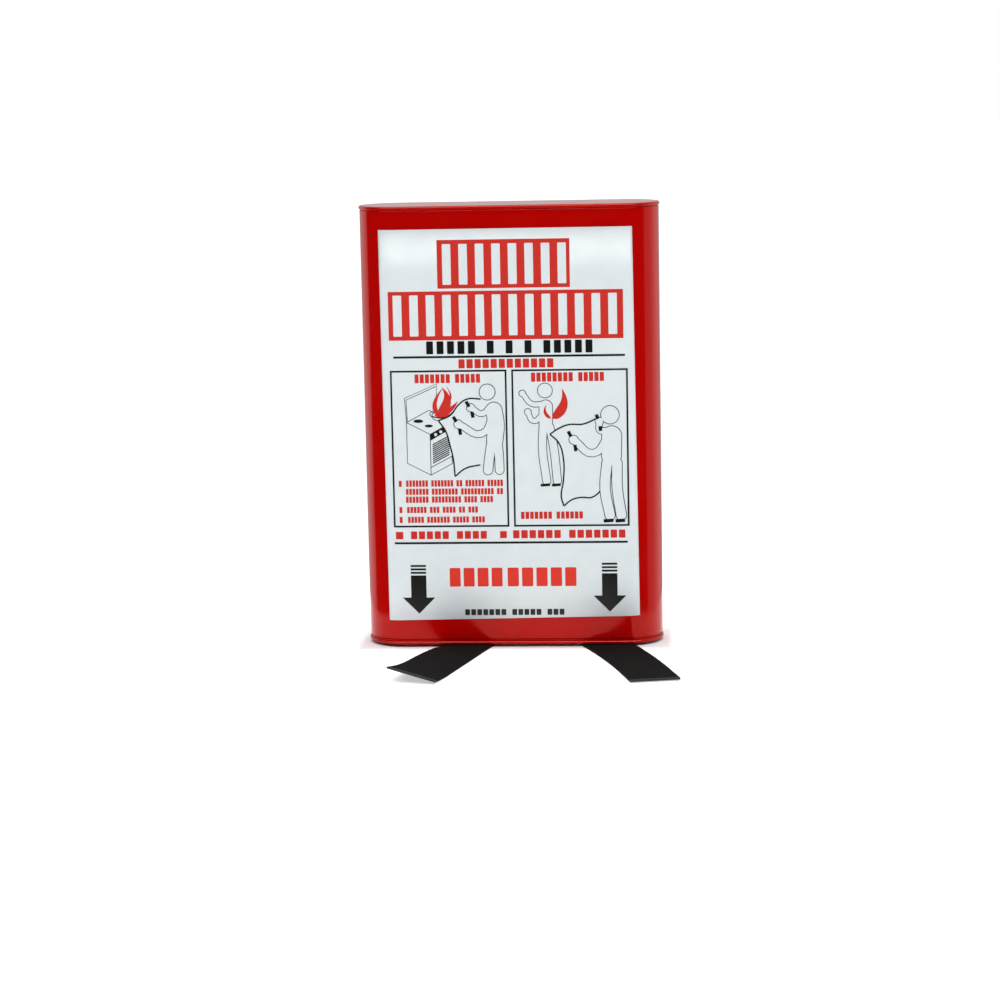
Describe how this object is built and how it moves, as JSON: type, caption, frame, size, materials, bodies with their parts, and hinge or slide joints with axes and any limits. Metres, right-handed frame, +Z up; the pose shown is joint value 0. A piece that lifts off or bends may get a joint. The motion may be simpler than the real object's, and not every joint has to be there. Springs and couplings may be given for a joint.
{
  "type": "fire blanket in a metal case",
  "caption": "Flat upright sheet-metal case with rounded ends, a printed front label, and woven pull tapes at its open mouth that draw out a folded safety blanket.",
  "frame": {"origin": "on the outer face of the case's back, midway between the two keyholes, at the height of the screws that carry the case", "axes": "+Z up, +Y out of the case's back towards the wall, +X to the right of someone facing the front label; the front faces -Y"},
  "size_m": [0.2092, 0.1602, 0.2916],
  "materials": {
    "red_enamelled_tin": "gloss",
    "printed_vinyl": "satin",
    "glass_fibre_cloth": "matte",
    "black_woven_tape": "matte",
    "black_thread": "matte"
  },
  "bodies": {
    "case": {"case_shell": "red_enamelled_tin", "top_end": "red_enamelled_tin", "bottom_ring": "red_enamelled_tin", "front_label": "printed_vinyl"},
    "blanket": {"blanket": "glass_fibre_cloth", "left_tape_root": "black_woven_tape", "right_tape_root": "black_woven_tape", "left_box_stitch": "black_thread", "right_box_stitch": "black_thread"},
    "left_tape": {"left_tape_tail": "black_woven_tape"},
    "right_tape": {"right_tape_tail": "black_woven_tape"}
  },
  "joints": [
    {"name": "blanket_slide", "type": "slide", "parent": "case", "child": "blanket", "axis": [0, 0, -1], "range_m": [0, 0.235]},
    {"name": "left_tape_swing", "type": "hinge", "parent": "blanket", "child": "left_tape", "pos_m": [-0.0296, -0.0442, -0.24595], "axis": [0.9686, -0.2487, 0], "range_deg": [0, 90]},
    {"name": "right_tape_swing", "type": "hinge", "parent": "blanket", "child": "right_tape", "pos_m": [0.0602, -0.0442, -0.24595], "axis": [0.9239, 0.3827, 0], "range_deg": [0, 90]}
  ]
}
